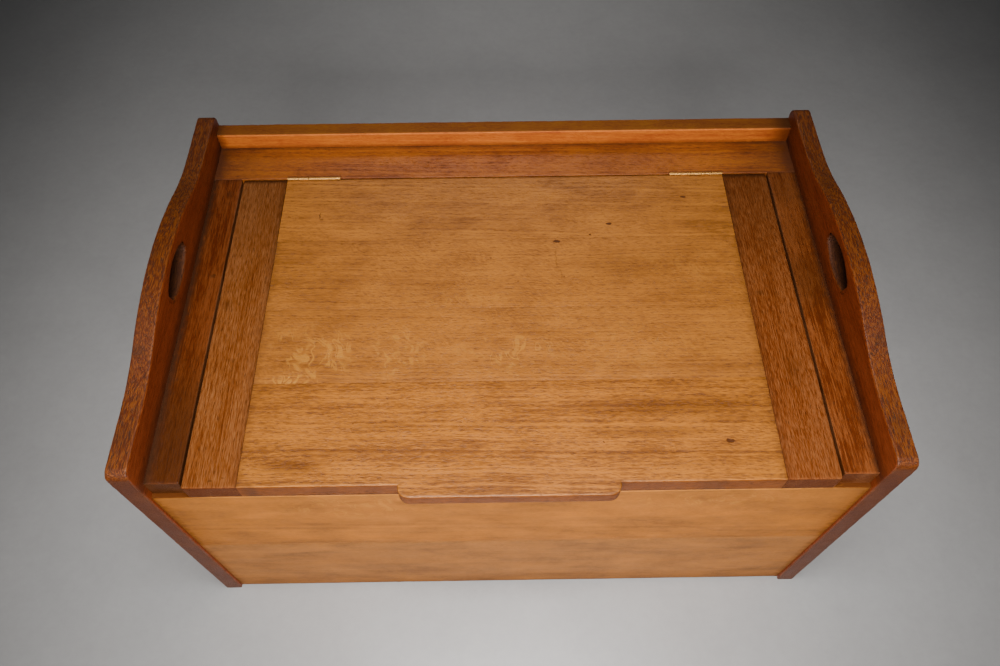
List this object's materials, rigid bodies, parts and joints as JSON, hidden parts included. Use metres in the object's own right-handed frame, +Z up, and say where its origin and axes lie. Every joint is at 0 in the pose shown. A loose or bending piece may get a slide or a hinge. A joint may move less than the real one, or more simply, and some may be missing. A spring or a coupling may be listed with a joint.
{
  "type": "blanket chest",
  "caption": "Low oak chest between shaped ends with oval hand holes; lid in breadboard clamps, hinged at the back inside a fixed frame, with a finger tab at the front.",
  "frame": {"origin": "on the floor under the middle of the bounding box, finger tab included", "axes": "+X to the right along the chest, -Y to the front, +Z up"},
  "size_m": [0.889, 0.5698, 0.4844],
  "materials": {
    "lid_oak": "waxed golden oak, satin",
    "clamp_oak": "waxed red-brown oak, satin",
    "frame_oak": "waxed dark red-brown oak, satin",
    "end_oak": "waxed dark red-brown oak, satin",
    "front_oak": "waxed orange-tan oak, satin",
    "back_oak": "waxed orange-brown oak, satin",
    "carcase_pine": "planed pine, unfinished",
    "hinge_brass": "worn drawn brass",
    "screw_brass": "turned brass, dull",
    "fixing_steel": "bright steel gone dull"
  },
  "bodies": {
    "root": {"back_bottom_cleat": "carcase_pine", "back_lower_board": "back_oak", "back_middle_board": "back_oak", "back_upper_board": "back_oak", "bottom_board_1": "carcase_pine", "bottom_board_2": "carcase_pine", "bottom_board_3": "carcase_pine", "bottom_board_4": "carcase_pine", "bottom_board_5": "carcase_pine", "bottom_board_6": "carcase_pine", "bottom_board_nails": "fixing_steel", "bottom_cleat_screws": "fixing_steel", "front_bottom_cleat": "carcase_pine", "front_lower_board": "front_oak", "front_upper_board": "front_oak", "hinge_rail": "frame_oak", "hinge_rail_cleat": "carcase_pine", "left_bottom_cleat": "carcase_pine", "left_end_lower_board": "end_oak", "left_end_middle_board": "end_oak", "left_end_upper_board": "end_oak", "left_hinge_fixed_leaf": "hinge_brass", "left_hinge_pin": "hinge_brass", "left_strip_cleat": "carcase_pine", "left_top_strip": "frame_oak", "rail_hinge_screws": "screw_brass", "right_bottom_cleat": "carcase_pine", "right_end_lower_board": "end_oak", "right_end_middle_board": "end_oak", "right_end_upper_board": "end_oak", "right_hinge_fixed_leaf": "hinge_brass", "right_hinge_pin": "hinge_brass", "right_strip_cleat": "carcase_pine", "right_top_strip": "frame_oak", "top_cleat_screws": "fixing_steel", "top_frame_screws": "fixing_steel"},
    "lid": {"lid_board_1": "lid_oak", "lid_board_2": "lid_oak", "lid_board_3": "lid_oak", "lid_board_4": "lid_oak", "left_lid_clamp": "clamp_oak", "right_lid_clamp": "clamp_oak", "left_hinge_lid_leaf": "hinge_brass", "right_hinge_lid_leaf": "hinge_brass", "lid_hinge_screws": "screw_brass"}
  },
  "joints": [
    {"name": "lid_hinge", "type": "hinge", "parent": "root", "child": "lid", "pos_m": [0, 0.19815, 0.413], "axis": [-1, 0, 0], "range_deg": [0, 157]}
  ]
}
